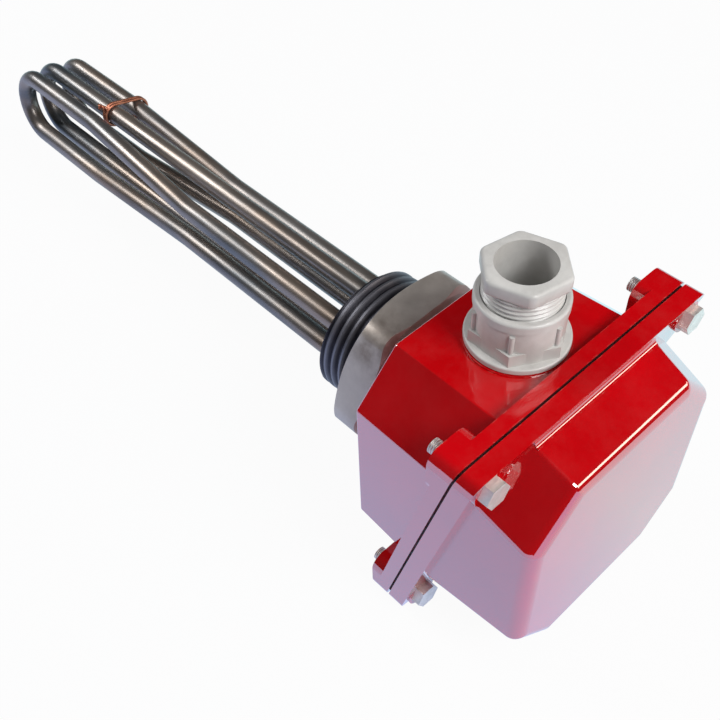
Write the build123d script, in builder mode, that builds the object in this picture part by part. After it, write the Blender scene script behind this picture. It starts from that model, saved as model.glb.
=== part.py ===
from build123d import *
import os
from math import cos, pi, radians, sin, tan

os.makedirs("parts", exist_ok=True)

# Immersion heater: three hairpin elements brazed into a threaded plug, with a cast terminal box behind it.
# Frame: origin at the centre of the plug's sealing shoulder, +X along the axis towards the box cover,
# elements along -X, +Z up along the cable gland, +Y to the right seen from the cover. Millimetres.

# Screw plug
thread_d = 59.6
thread_l = 20.0
thread_lead = 1.8
hex_flats = 76.0
hex_t = 17.0
hex_face_d = 71.0
hex_bevel_deg = 30.0
hex_turn_deg = 2.6
neck_d = 68.0
neck_l = 11.0

# Hairpin elements
sheath_d = 9.5
braze_gap = 0.1
ring_r = 17.1
ring_turn_deg = -7.4
sheath_end_x = 40.0
joggle_start_x = -133.0
joggle_end_x = -218.0
joggle_r = 60.0
bend_x = -272.0
outer_far_half = 15.9
left_far_lat = -12.7
right_far_lat = 13.85
left_bend_back = 1.0
right_bend_back = 0.0

# Tie wire round the upper legs
tie_x = -232.0
tie_wire_d = 1.6
tie_gap = 0.25
tie_turns = 2

# Terminals in the ends of the elements
stud_d = 4.0
stud_fit = 0.05
stud_root_l = 12.0
stud_out_l = 20.0
bush_spigot_d = 7.0
bush_spigot_l = 4.0
bush_head_d = 9.0
bush_head_l = 5.0
bush_gap = 0.1
nut_flats = 7.0
nut_t = 3.2
washer_d = 9.0
washer_t = 0.8
link_t = 1.5
link_w = 9.0

# Terminal box casting
wall = 4.5
back_gasket_t = 1.5
base_back_half = 53.5
base_cut = 20.7
base_draft = 0.04
joint_x = 71.4
joint_lean_deg = 15.0
joint_gasket_t = 1.0
joint_gasket_inset = 1.6
base_flange_t = 6.0
cover_flange_t = 7.75
flange_half_y = 64.5
flange_half_z = 60.0
flange_corner_r = 6.0
ear_w = 20.0
ear_t = 9.5
cover_front_x = 115.0
cover_half_y = 52.4
cover_top = 46.7
cover_bottom = 55.3
cover_cut = 20.3
cover_draft_y = 0.07
cover_draft_top = 0.40
cover_front_r = 6.0
cover_corner_r = 3.0
base_edge_r = 1.2
back_hole_d = 47.0

# Cover bolts, M6
bolt_y = 55.0
bolt_z = 51.5
bolt_d = 6.0
bolt_l = 25.0
bolt_flats = 10.0
bolt_head_t = 4.0
bolt_fit = 0.05
bolt_hole_gap = 0.4
bolt_boss_d = 14.0
bolt_boss_h = 1.0

# Base screws into the plug, M5
base_screw_d = 5.0
base_screw_r = 28.5
base_screw_l = 12.0
base_screw_head_d = 8.5
base_screw_head_t = 3.6
base_screw_count = 4
screw_slot_w = 1.2
screw_slot_t = 1.3
screw_hole_gap = 0.25

# Earth screw, M5
earth_y = -33.0
earth_z = -33.0
earth_boss_d = 12.0
earth_boss_l = 5.0
earth_washer_d = 11.0
earth_washer_t = 1.0

# Cable gland
gland_x = 59.1
gland_flange_d = 39.4
gland_flange_t = 2.2
gland_flats = 33.0
gland_hex_t = 5.5
gland_turn_deg = 0.0
gland_sleeve_d = 33.6
gland_rim_d = 34.6
gland_rim_t = 4.5
gland_h = 21.5
gland_thread_d = 28.3
gland_thread_l = 12.0
gland_bore_d = 30.0
gland_way_d = 22.4
gland_seat_z = 3.0
gland_rib_w = 2.0
gland_rib_out = 1.2
gland_rib_top = 16.0
gland_washer_t = 0.5
gland_pad_d = 40.4
gland_pad_rise = 0.2
gland_inner_pad_d = 44.0
gland_inner_pad_rise = 0.5
gland_hole_gap = 0.3
locknut_flats = 36.0
locknut_t = 5.0
locknut_fit = 0.1
clamp_nut_flats = 32.0
clamp_nut_round_d = 33.6
clamp_nut_face_d = 29.0
clamp_nut_h = 9.2
clamp_nut_turn_deg = 14.3
clamp_nut_gap = 4.5
clamp_nut_spigot_l = 12.5
clamp_nut_fit = 0.3
clamp_ring_t = 1.6
clamp_ring_way_d = 18.0
seal_way_d = 14.0
seal_gap = 0.3

# Sizes worked out from those above
joint_slope = tan(radians(joint_lean_deg))
base_back_x = hex_t + neck_l + back_gasket_t
base_inner_x = base_back_x + wall
sheath_r = sheath_d / 2
outer_root_half = ring_r / 2
outer_root_lat = ring_r * cos(radians(30))
far_x = cover_front_x + wall


def save(part, name):
    part.label = name
    export_step(part, f"parts/{name}.step")


def across(x, lat, up):
    """Point at x, with lat and up measured in the turned frame of the hairpin bundle."""
    turn = radians(ring_turn_deg)
    return Vector(x, lat * cos(turn) - up * sin(turn), lat * sin(turn) + up * cos(turn))


def joint_plane(shift=0.0):
    """Leaning plane of the cover joint, shifted along X."""
    return Plane(origin=(joint_x + shift, 0, 0), x_dir=(0, 1, 0), z_dir=(1, 0, -joint_slope))


def joint_x_at(z, shift=0.0):
    return joint_x + joint_slope * z + shift


def base_walls(x, inset=0.0):
    """Half width, top and bottom of the base at x."""
    half = base_back_half + (x - base_back_x) * base_draft - inset
    return half, half, half


def cover_walls(x, inset=0.0):
    """Half width, top and bottom of the cover at x."""
    back = cover_front_x - x
    half = cover_half_y + back * cover_draft_y - inset
    return half, cover_top + back * cover_draft_top - inset, cover_bottom - inset


def side_view(walls, ends, inset=0.0):
    """Outline in the X-Z plane between two values of x."""
    (_, top_a, low_a), (_, top_b, low_b) = [walls(x, inset) for x in ends]
    return [(ends[0], -low_a), (ends[0], top_a), (ends[1], top_b), (ends[1], -low_b)]


def plan_view(walls, ends, inset=0.0):
    """Outline in the X-Y plane between two values of x."""
    (half_a, _, _), (half_b, _, _) = [walls(x, inset) for x in ends]
    return [(ends[0], -half_a), (ends[0], half_a), (ends[1], half_b), (ends[1], -half_b)]


def along_x(edge):
    return abs(edge.tangent_at(0.5).X) > 0.8 and edge.length > flange_corner_r


ear_spots = [(side * bolt_y, up * bolt_z) for side in (-1, 1) for up in (-1, 1)]
screw_angles = [360 / base_screw_count * (k + 0.5) for k in range(base_screw_count)]
screw_spots = [(base_screw_r * cos(radians(a)), base_screw_r * sin(radians(a))) for a in screw_angles]

hairpins = {
    "element_left": (-outer_root_lat, left_far_lat, outer_root_half, outer_far_half, bend_x - left_bend_back),
    "element_middle": (0.0, 0.0, ring_r, ring_r, bend_x),
    "element_right": (outer_root_lat, right_far_lat, outer_root_half, outer_far_half, bend_x - right_bend_back),
}
leg_roots = [(lat, side * half) for lat, _, half, _, _ in hairpins.values() for side in (1, -1)]

# Screw plug
with BuildPart() as screw_plug:
    with BuildSketch(Plane.YZ):
        RegularPolygon(radius=hex_flats / 2, side_count=6, major_radius=False, rotation=hex_turn_deg)
    extrude(amount=hex_t)
    with BuildSketch(Plane.XZ):
        with BuildLine():
            bevel = (hex_flats - hex_face_d) / 2 + hex_flats / 8
            depth = bevel * tan(radians(hex_bevel_deg))
            Polyline(
                (0, 0),
                (0, hex_face_d / 2),
                (depth, hex_face_d / 2 + bevel),
                (hex_t - depth, hex_face_d / 2 + bevel),
                (hex_t, hex_face_d / 2),
                (hex_t, 0),
                close=True,
            )
        make_face()
    revolve(axis=Axis.X, mode=Mode.INTERSECT)
    with BuildSketch(Plane.YZ):
        Circle(thread_d / 2)
    extrude(amount=-thread_l)
    chamfer(edges().filter_by(GeomType.CIRCLE).sort_by(Axis.X)[0], thread_lead)
    with BuildSketch(Plane.YZ.offset(hex_t)):
        Circle(neck_d / 2)
    extrude(amount=neck_l)
    with BuildSketch(Plane.YZ.offset(-thread_l)):
        for lat, up in leg_roots:
            spot = across(0, lat, up)
            with Locations((spot.Y, spot.Z)):
                Circle(sheath_r + braze_gap)
    extrude(amount=thread_l + hex_t + neck_l, mode=Mode.SUBTRACT)
    with BuildSketch(Plane.YZ.offset(hex_t + neck_l)):
        with Locations(*screw_spots):
            Circle(base_screw_d / 2 + bolt_fit)
    extrude(amount=-base_screw_l, mode=Mode.SUBTRACT)
save(screw_plug.part, "screw_plug")

# Hairpin elements: a leg, a joggle outwards, the round bend and the same way back
for name, (root_lat, far_lat, root_half, far_half, tip_x) in hairpins.items():

    def leg(up):
        root = up * root_half
        far = up * far_half
        straight = [across(sheath_end_x, root_lat, root), across(tip_x, far_lat, far)]
        if root_half == far_half:
            return Polyline(*straight)
        bent = [across(joggle_start_x, root_lat, root), across(joggle_end_x, far_lat, far)]
        return FilletPolyline(straight[0], *bent, straight[1], radius=joggle_r)

    with BuildPart() as element:
        with BuildLine() as path:
            leg(1)
            ends = [across(tip_x, far_lat, far_half), across(tip_x, far_lat, -far_half)]
            ThreePointArc(ends[0], across(tip_x - far_half, far_lat, 0), ends[1])
            leg(-1)
        start = across(sheath_end_x, root_lat, root_half)
        with BuildSketch(Plane(origin=start, x_dir=(0, 1, 0), z_dir=(-1, 0, 0))):
            Circle(sheath_r)
        sweep()
        for side in (1, -1):
            spot = across(sheath_end_x, root_lat, side * root_half)
            mouth = Plane(origin=spot, x_dir=(0, 1, 0), z_dir=(-1, 0, 0))
            with BuildSketch(mouth):
                Circle(bush_spigot_d / 2 + bush_gap)
            extrude(amount=bush_spigot_l + bush_gap, mode=Mode.SUBTRACT)
            with BuildSketch(mouth):
                Circle(stud_d / 2 + stud_fit)
            extrude(amount=stud_root_l + bush_gap, mode=Mode.SUBTRACT)
    save(element.part, name)

# Tie wire: two turns of soft copper round the upper legs, with its ends twisted
tie_r = sheath_r + tie_gap + tie_wire_d / 2
tie_top_half = outer_far_half
with BuildPart() as tie_wire:
    for turn in range(tie_turns):
        loop_x = tie_x + turn * (tie_wire_d + tie_gap)
        a = across(loop_x, 0, ring_r)
        b = across(loop_x, right_far_lat, tie_top_half)
        run = (b - a).normalized()
        off = Vector(0, -run.Z, run.Y) * tie_r
        with BuildLine():
            Line(a + off, b + off)
            ThreePointArc(b + off, b + run * tie_r, b - off)
            Line(b - off, a - off)
            ThreePointArc(a - off, a - run * tie_r, a + off)
        with BuildSketch(Plane(origin=a + off, x_dir=(1, 0, 0), z_dir=run)):
            Circle(tie_wire_d / 2)
        sweep()
save(tie_wire.part, "tie_wire")

# Terminal studs, bushes, washers, nuts and the star link
leg_spots = [across(0, lat, up) for lat, up in leg_roots]
linked = leg_spots[1::2]
seat_x = sheath_end_x + bush_head_l
face_spots = [(spot.Y, spot.Z) for spot in leg_spots]
linked_spots = [(spot.Y, spot.Z) for spot in linked]
free_spots = [spot for spot in face_spots if spot not in linked_spots]

with BuildPart() as terminal_studs:
    with BuildSketch(Plane.YZ.offset(sheath_end_x - stud_root_l)):
        with Locations(*face_spots):
            Circle(stud_d / 2)
    extrude(amount=stud_root_l + stud_out_l)
save(terminal_studs.part, "terminal_studs")

with BuildPart() as ceramic_bushes:
    with BuildSketch(Plane.YZ.offset(sheath_end_x - bush_spigot_l)):
        with Locations(*face_spots):
            Circle(bush_spigot_d / 2)
    extrude(amount=bush_spigot_l)
    with BuildSketch(Plane.YZ.offset(sheath_end_x)):
        with Locations(*face_spots):
            Circle(bush_head_d / 2)
    extrude(amount=bush_head_l)
    with BuildSketch(Plane.YZ.offset(sheath_end_x - bush_spigot_l)):
        with Locations(*face_spots):
            Circle(stud_d / 2 + stud_fit)
    extrude(amount=bush_spigot_l + bush_head_l, mode=Mode.SUBTRACT)
save(ceramic_bushes.part, "ceramic_bushes")


def stacks(step):
    """Start of a piece on each free stud and on each linked stud, step along the stack."""
    return [(free_spots, seat_x + step), (linked_spots, seat_x + step + link_t)]


with BuildPart() as terminal_nuts:
    with BuildSketch(Plane.YZ.offset(seat_x)):
        with Locations(*face_spots):
            RegularPolygon(radius=nut_flats / 2, side_count=6, major_radius=False)
            Circle(stud_d / 2 + stud_fit, mode=Mode.SUBTRACT)
    extrude(amount=nut_t)
    for spots, start_x in stacks(nut_t + washer_t):
        with BuildSketch(Plane.YZ.offset(start_x)):
            with Locations(*spots):
                RegularPolygon(radius=nut_flats / 2, side_count=6, major_radius=False)
                Circle(stud_d / 2 + stud_fit, mode=Mode.SUBTRACT)
        extrude(amount=nut_t)
save(terminal_nuts.part, "terminal_nuts")

with BuildPart() as terminal_washers:
    for spots, start_x in stacks(nut_t):
        with BuildSketch(Plane.YZ.offset(start_x)):
            with Locations(*spots):
                Circle(washer_d / 2)
                Circle(stud_d / 2 + stud_fit, mode=Mode.SUBTRACT)
        extrude(amount=washer_t)
save(terminal_washers.part, "terminal_washers")

with BuildPart() as star_link:
    with BuildSketch(Plane.YZ.offset(seat_x + nut_t)):
        for near, far in zip(linked_spots, linked_spots[1:]):
            with BuildLine():
                Line(near, far)
            trace(line_width=link_w)
        with Locations(*linked_spots):
            Circle(link_w / 2)
        with Locations(*linked_spots):
            Circle(stud_d / 2 + stud_fit, mode=Mode.SUBTRACT)
    extrude(amount=link_t)
save(star_link.part, "star_link")

# Gasket between the plug's neck and the box
with BuildPart() as base_gasket:
    with BuildSketch(Plane.YZ.offset(hex_t + neck_l)):
        Circle(neck_d / 2)
        Circle(back_hole_d / 2, mode=Mode.SUBTRACT)
        with Locations(*screw_spots):
            Circle(base_screw_d / 2 + screw_hole_gap, mode=Mode.SUBTRACT)
    extrude(amount=back_gasket_t)
save(base_gasket.part, "base_gasket")

# Slotted cheese head screws that hold the box to the plug
with BuildPart() as base_screws:
    with BuildSketch(Plane.YZ.offset(base_inner_x)):
        with Locations(*screw_spots):
            Circle(base_screw_head_d / 2)
    extrude(amount=base_screw_head_t)
    with BuildSketch(Plane.YZ.offset(base_inner_x)):
        with Locations(*screw_spots):
            Circle(base_screw_d / 2)
    extrude(amount=-(wall + back_gasket_t + base_screw_l - bush_gap))
    with BuildSketch(Plane.YZ.offset(base_inner_x + base_screw_head_t)):
        with Locations(*screw_spots):
            Rectangle(base_screw_head_d, screw_slot_w)
    extrude(amount=-screw_slot_t, mode=Mode.SUBTRACT)
save(base_screws.part, "base_screws")

# Box base: tapered octagonal shell cut by the leaning joint, flange with four ears, seat for the gland
gland_z = base_walls(gland_x + gland_pad_d / 2)[1] + gland_pad_rise
locknut_z = base_walls(gland_x - gland_inner_pad_d / 2, wall)[1] - gland_inner_pad_rise

inner_ends = (base_inner_x, far_x)
with BuildPart() as base_cavity:
    with BuildSketch(Plane.XZ):
        with BuildLine():
            Polyline(*side_view(base_walls, inner_ends, wall), close=True)
        make_face()
    extrude(amount=far_x, both=True)
    with BuildSketch(Plane.XY):
        with BuildLine():
            Polyline(*plan_view(base_walls, inner_ends, wall), close=True)
        make_face()
    extrude(amount=far_x, both=True, mode=Mode.INTERSECT)
    chamfer(edges().filter_by(along_x), base_cut - wall / 2)

outer_ends = (base_back_x, far_x)
with BuildPart() as box_base:
    with BuildSketch(Plane.XZ):
        with BuildLine():
            Polyline(*side_view(base_walls, outer_ends), close=True)
        make_face()
    extrude(amount=far_x, both=True)
    with BuildSketch(Plane.XY):
        with BuildLine():
            Polyline(*plan_view(base_walls, outer_ends), close=True)
        make_face()
    extrude(amount=far_x, both=True, mode=Mode.INTERSECT)
    chamfer(edges().filter_by(along_x), base_cut)
    fillet(edges().group_by(Axis.X)[0], base_edge_r)
    fillet(edges().filter_by(along_x), base_edge_r)
    split(bisect_by=joint_plane(), keep=Keep.BOTTOM)
    with BuildSketch(Plane.YZ):
        RectangleRounded(2 * flange_half_y, 2 * flange_half_z, flange_corner_r)
    flange_bar = extrude(amount=far_x, mode=Mode.PRIVATE)
    flange = split(flange_bar, bisect_by=joint_plane(), keep=Keep.BOTTOM, mode=Mode.PRIVATE)
    flange = split(flange, bisect_by=joint_plane(-base_flange_t), keep=Keep.TOP, mode=Mode.PRIVATE)
    add(flange)
    for y, z in ear_spots:
        side = 1 if y > 0 else -1
        up = 1 if z > 0 else -1
        ear_x = joint_x_at(z, -ear_t)
        ear_mid = (side * (flange_half_y - ear_w / 2), up * (flange_half_z - ear_w / 2))
        with BuildSketch(Plane.YZ.offset(ear_x)):
            with Locations(ear_mid):
                RectangleRounded(ear_w, ear_w, flange_corner_r)
        ear_bar = extrude(amount=far_x - ear_x, mode=Mode.PRIVATE)
        add(split(ear_bar, bisect_by=joint_plane(), keep=Keep.BOTTOM, mode=Mode.PRIVATE))
    with BuildSketch(Plane.XY.offset(gland_z)):
        with Locations((gland_x, 0)):
            Circle(gland_pad_d / 2)
    extrude(amount=-wall)
    add(base_cavity.part, mode=Mode.SUBTRACT)
    with BuildSketch(Plane.XY.offset(locknut_z)):
        with Locations((gland_x, 0)):
            Circle(gland_inner_pad_d / 2)
    extrude(amount=wall / 2)
    with BuildSketch(Plane.YZ.offset(base_inner_x)):
        with Locations((earth_y, earth_z)):
            Circle(earth_boss_d / 2)
    extrude(amount=earth_boss_l)
    with BuildSketch(Plane.YZ.offset(base_inner_x + earth_boss_l)):
        with Locations((earth_y, earth_z)):
            Circle(base_screw_d / 2 + bolt_fit)
    extrude(amount=-(earth_boss_l + wall / 2), mode=Mode.SUBTRACT)
    with BuildSketch(Plane.YZ.offset(base_back_x)):
        Circle(back_hole_d / 2)
        with Locations(*screw_spots):
            Circle(base_screw_d / 2 + screw_hole_gap)
    extrude(amount=wall, mode=Mode.SUBTRACT)
    with BuildSketch(Plane.XY.offset(gland_z)):
        with Locations((gland_x, 0)):
            Circle(gland_thread_d / 2 + gland_hole_gap)
    extrude(amount=locknut_z - gland_z, mode=Mode.SUBTRACT)
    with BuildSketch(Plane.YZ.offset(base_back_x)):
        with Locations(*ear_spots):
            Circle(bolt_d / 2 + bolt_fit)
    extrude(amount=far_x, mode=Mode.SUBTRACT)
save(box_base.part, "box_base")

# Joint gasket, set back from the edge of the flange
with BuildPart() as cover_gasket:
    with BuildSketch(Plane.YZ):
        RectangleRounded(
            2 * (flange_half_y - joint_gasket_inset),
            2 * (flange_half_z - joint_gasket_inset),
            flange_corner_r - joint_gasket_inset,
        )
        with Locations(*ear_spots):
            Circle(bolt_d / 2 + bolt_hole_gap, mode=Mode.SUBTRACT)
    extrude(amount=far_x)
    add(base_cavity.part, mode=Mode.SUBTRACT)
    split(bisect_by=joint_plane(joint_gasket_t), keep=Keep.BOTTOM)
    split(bisect_by=joint_plane(), keep=Keep.TOP)
save(cover_gasket.part, "cover_gasket")

# Box cover: octagonal dome that drops towards its front, on the same leaning flange
dome_back_x = joint_x - joint_slope * flange_half_z
cavity_ends = (dome_back_x, cover_front_x - wall)
with BuildPart() as cover_cavity:
    with BuildSketch(Plane.XZ):
        with BuildLine():
            Polyline(*side_view(cover_walls, cavity_ends, wall), close=True)
        make_face()
    extrude(amount=far_x, both=True)
    with BuildSketch(Plane.XY):
        with BuildLine():
            Polyline(*plan_view(cover_walls, cavity_ends, wall), close=True)
        make_face()
    extrude(amount=far_x, both=True, mode=Mode.INTERSECT)
    chamfer(edges().filter_by(along_x), cover_cut - wall / 2)

dome_ends = (dome_back_x, cover_front_x)
with BuildPart() as box_cover:
    with BuildSketch(Plane.XZ):
        with BuildLine():
            Polyline(*side_view(cover_walls, dome_ends), close=True)
        make_face()
    extrude(amount=far_x, both=True)
    with BuildSketch(Plane.XY):
        with BuildLine():
            Polyline(*plan_view(cover_walls, dome_ends), close=True)
        make_face()
    extrude(amount=far_x, both=True, mode=Mode.INTERSECT)
    chamfer(edges().filter_by(along_x), cover_cut)
    fillet(edges().group_by(Axis.X)[-1], cover_front_r)
    fillet(edges().filter_by(along_x), cover_corner_r)
    split(bisect_by=joint_plane(joint_gasket_t), keep=Keep.TOP)
    with BuildSketch(Plane.YZ):
        RectangleRounded(2 * flange_half_y, 2 * flange_half_z, flange_corner_r)
    cover_bar = extrude(amount=far_x, mode=Mode.PRIVATE)
    cover_front = joint_plane(joint_gasket_t + cover_flange_t)
    plate = split(cover_bar, bisect_by=cover_front, keep=Keep.BOTTOM, mode=Mode.PRIVATE)
    plate = split(plate, bisect_by=joint_plane(joint_gasket_t), keep=Keep.TOP, mode=Mode.PRIVATE)
    add(plate)
    for y, z in ear_spots:
        boss_x = joint_x_at(z, joint_gasket_t + cover_flange_t + bolt_boss_h)
        with BuildSketch(Plane.YZ.offset(boss_x)):
            with Locations((y, z)):
                Circle(bolt_boss_d / 2)
        extrude(amount=-cover_flange_t / 2 - bolt_boss_h)
        with BuildSketch(Plane.YZ.offset(boss_x)):
            with Locations((y, z)):
                Circle(bolt_boss_d / 2)
        extrude(amount=bolt_head_t, mode=Mode.SUBTRACT)
    add(cover_cavity.part, mode=Mode.SUBTRACT)
    with BuildSketch(Plane.YZ):
        with Locations(*ear_spots):
            Circle(bolt_d / 2 + bolt_hole_gap)
    extrude(amount=far_x + far_x, mode=Mode.SUBTRACT)
save(box_cover.part, "box_cover")

# Cover bolts
with BuildPart() as cover_bolts:
    for y, z in ear_spots:
        seat = joint_x_at(z, joint_gasket_t + cover_flange_t + bolt_boss_h)
        with BuildSketch(Plane.YZ.offset(seat)):
            with Locations((y, z)):
                RegularPolygon(radius=bolt_flats / 2, side_count=6, major_radius=False)
        extrude(amount=bolt_head_t)
        with BuildSketch(Plane.YZ.offset(seat)):
            with Locations((y, z)):
                Circle(bolt_d / 2)
        extrude(amount=-bolt_l)
save(cover_bolts.part, "cover_bolts")

# Earth screw and its washer
earth_x = base_inner_x + earth_boss_l
with BuildPart() as earth_washer:
    with BuildSketch(Plane.YZ.offset(earth_x)):
        with Locations((earth_y, earth_z)):
            Circle(earth_washer_d / 2)
            Circle(base_screw_d / 2 + bolt_fit, mode=Mode.SUBTRACT)
    extrude(amount=earth_washer_t)
save(earth_washer.part, "earth_washer")

with BuildPart() as earth_screw:
    with BuildSketch(Plane.YZ.offset(earth_x + earth_washer_t)):
        with Locations((earth_y, earth_z)):
            Circle(base_screw_head_d / 2)
    extrude(amount=base_screw_head_t)
    with BuildSketch(Plane.YZ.offset(earth_x + earth_washer_t)):
        with Locations((earth_y, earth_z)):
            Circle(base_screw_d / 2)
    extrude(amount=-(earth_washer_t + earth_boss_l))
    with BuildSketch(Plane.YZ.offset(earth_x + earth_washer_t + base_screw_head_t)):
        with Locations((earth_y, earth_z)):
            Rectangle(base_screw_head_d, screw_slot_w)
    extrude(amount=-screw_slot_t, mode=Mode.SUBTRACT)
save(earth_screw.part, "earth_screw")

# Cable gland, bottom up: locknut, washer, body, seal, clamp ring, nut
gland_axis = Axis((gland_x, 0, 0), (0, 0, 1))
seat_z = gland_z + gland_washer_t


def gland_plane(height):
    return Plane(origin=(gland_x, 0, seat_z + height))


def turned(points):
    """Points in the X-Z plane from (radius, height) pairs measured on the gland's axis."""
    return [(gland_x + r, seat_z + h) for r, h in points]


with BuildPart() as gland_washer:
    with BuildSketch(gland_plane(-gland_washer_t)):
        Circle(gland_flange_d / 2 - gland_washer_t)
        Circle(gland_thread_d / 2 + gland_hole_gap, mode=Mode.SUBTRACT)
    extrude(amount=gland_washer_t)
save(gland_washer.part, "gland_washer")

hex_top = gland_flange_t + gland_hex_t
rim_start = gland_h - gland_rim_t
way_r = gland_way_d / 2
bore_r = gland_bore_d / 2
with BuildPart() as gland_body:
    with BuildSketch(gland_plane(0)):
        Circle(gland_flange_d / 2)
    extrude(amount=gland_flange_t)
    fillet(edges().group_by(Axis.Z)[-1], gland_flange_t / 3)
    with BuildSketch(gland_plane(0)):
        RegularPolygon(radius=gland_flats / 2, side_count=6, major_radius=False, rotation=gland_turn_deg)
        Circle(gland_flange_d / 2 - gland_flange_t / 4, mode=Mode.INTERSECT)
    extrude(amount=hex_top)
    with BuildSketch(Plane.XZ):
        with BuildLine():
            outline = turned(
                [
                    (0, 0),
                    (gland_sleeve_d / 2, 0),
                    (gland_sleeve_d / 2, rim_start),
                    (gland_rim_d / 2, rim_start + gland_rim_d / 2 - gland_sleeve_d / 2),
                    (gland_rim_d / 2, gland_h),
                    (0, gland_h),
                ]
            )
            Polyline(*outline, close=True)
        make_face()
    revolve(axis=gland_axis)
    rib_radius = gland_sleeve_d / 2 + gland_rib_out / 2
    for k in range(6):
        rib_plane = gland_plane(gland_flange_t).rotated((0, 0, 60 * k + gland_turn_deg))
        with BuildSketch(rib_plane):
            with Locations((rib_radius - gland_rib_w, 0)):
                SlotOverall(gland_rib_out + 2 * gland_rib_w, gland_rib_w)
        extrude(amount=gland_rib_top - gland_flange_t)
    with BuildSketch(gland_plane(0)):
        Circle(gland_thread_d / 2)
    extrude(amount=-gland_washer_t - gland_thread_l)
    fillet(edges().group_by(Axis.Z)[-1].sort_by(SortBy.RADIUS)[-1], gland_rim_t / 4)
    with BuildSketch(Plane.XZ):
        with BuildLine():
            outline = turned(
                [
                    (0, -gland_thread_l - gland_washer_t),
                    (way_r, -gland_thread_l - gland_washer_t),
                    (way_r, gland_seat_z),
                    (bore_r, gland_seat_z),
                    (bore_r, gland_h),
                    (0, gland_h),
                ]
            )
            Polyline(*outline, close=True)
        make_face()
    revolve(axis=gland_axis, mode=Mode.SUBTRACT)
save(gland_body.part, "gland_body")

with BuildPart() as gland_locknut:
    with BuildSketch(gland_plane(locknut_z - seat_z)):
        RegularPolygon(radius=locknut_flats / 2, side_count=6, major_radius=False)
        Circle(gland_thread_d / 2 + locknut_fit, mode=Mode.SUBTRACT)
    extrude(amount=-locknut_t)
save(gland_locknut.part, "gland_locknut")

nut_low = gland_h + clamp_nut_gap
nut_top = nut_low + clamp_nut_h
spigot_end = nut_low - clamp_nut_spigot_l
ring_low = spigot_end - clamp_ring_t
spigot_r = bore_r - clamp_nut_fit

with BuildPart() as gland_seal:
    with BuildSketch(Plane.XZ):
        with BuildLine():
            outline = turned(
                [
                    (seal_way_d / 2, gland_seat_z),
                    (bore_r - seal_gap, gland_seat_z),
                    (bore_r - seal_gap, ring_low),
                    (seal_way_d / 2, ring_low),
                ]
            )
            Polyline(*outline, close=True)
        make_face()
    revolve(axis=gland_axis)
save(gland_seal.part, "gland_seal")

with BuildPart() as gland_clamp_ring:
    with BuildSketch(gland_plane(ring_low)):
        Circle(spigot_r)
        Circle(clamp_ring_way_d / 2, mode=Mode.SUBTRACT)
    extrude(amount=clamp_ring_t)
save(gland_clamp_ring.part, "gland_clamp_ring")

with BuildPart() as gland_nut:
    with BuildSketch(gland_plane(nut_low)):
        RegularPolygon(
            radius=clamp_nut_flats / 2, side_count=6, major_radius=False, rotation=clamp_nut_turn_deg
        )
    extrude(amount=clamp_nut_h)
    bevel_in = (clamp_nut_round_d - clamp_nut_face_d) / 2
    with BuildSketch(Plane.XZ):
        with BuildLine():
            outline = turned(
                [
                    (0, nut_low),
                    (clamp_nut_round_d / 2, nut_low),
                    (clamp_nut_round_d / 2, nut_top - bevel_in),
                    (clamp_nut_face_d / 2, nut_top),
                    (0, nut_top),
                ]
            )
            Polyline(*outline, close=True)
        make_face()
    revolve(axis=gland_axis, mode=Mode.INTERSECT)
    with BuildSketch(gland_plane(spigot_end)):
        Circle(spigot_r)
    extrude(amount=clamp_nut_spigot_l)
    with BuildSketch(gland_plane(spigot_end)):
        Circle(way_r)
    extrude(amount=clamp_nut_spigot_l + clamp_nut_h, mode=Mode.SUBTRACT)
    fillet(edges().group_by(Axis.Z)[-1].sort_by(SortBy.RADIUS)[0], gland_flange_t / 3)
save(gland_nut.part, "gland_nut")
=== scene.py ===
from math import atan, cos, pi, radians, sin, sqrt

import bpy
from mathutils import Matrix, Vector


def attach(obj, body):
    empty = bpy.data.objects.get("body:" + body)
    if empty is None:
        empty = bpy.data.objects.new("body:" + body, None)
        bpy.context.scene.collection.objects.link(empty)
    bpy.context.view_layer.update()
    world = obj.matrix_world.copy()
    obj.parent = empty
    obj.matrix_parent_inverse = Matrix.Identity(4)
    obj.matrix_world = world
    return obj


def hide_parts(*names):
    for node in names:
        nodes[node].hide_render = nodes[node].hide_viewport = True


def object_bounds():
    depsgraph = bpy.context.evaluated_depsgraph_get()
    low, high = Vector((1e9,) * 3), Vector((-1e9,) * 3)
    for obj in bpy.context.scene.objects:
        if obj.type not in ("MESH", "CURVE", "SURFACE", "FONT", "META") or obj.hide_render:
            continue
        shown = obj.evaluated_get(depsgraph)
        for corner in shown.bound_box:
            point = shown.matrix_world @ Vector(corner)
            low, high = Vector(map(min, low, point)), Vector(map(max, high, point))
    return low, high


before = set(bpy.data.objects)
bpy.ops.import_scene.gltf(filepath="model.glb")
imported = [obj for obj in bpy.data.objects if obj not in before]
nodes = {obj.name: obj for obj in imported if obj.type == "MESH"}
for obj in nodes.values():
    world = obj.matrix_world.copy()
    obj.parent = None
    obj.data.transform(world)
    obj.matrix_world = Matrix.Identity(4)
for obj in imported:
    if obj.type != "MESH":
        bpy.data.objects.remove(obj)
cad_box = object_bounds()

MM = 0.001
SQRT3 = sqrt(3)
QUARTER = radians(90)

# Cast edges
CAST_EDGE_R = 0.9 * MM
CAST_EDGE_STEPS = 3
CAST_EDGE_ANGLE = radians(28)

# Thread of the plug; the tooth is shares of one pitch: root, rise, crest and fall
THREAD_R = 29.75 * MM
THREAD_PITCH = 4.4 * MM
THREAD_DEPTH = 1.7 * MM
THREAD_LENGTH = 20 * MM
THREAD_STEPS = 96
THREAD_TOOTH = (0.14, 0.32, 0.22, 0.32)
THREAD_SPARE_TURNS = 5
THREAD_SMOOTH = 25
# Share of the tooth depth, down from the crest, over which the thread's painted highlight fades
# in
CREST_HIGHLIGHT_SHARE = 0.6

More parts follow.
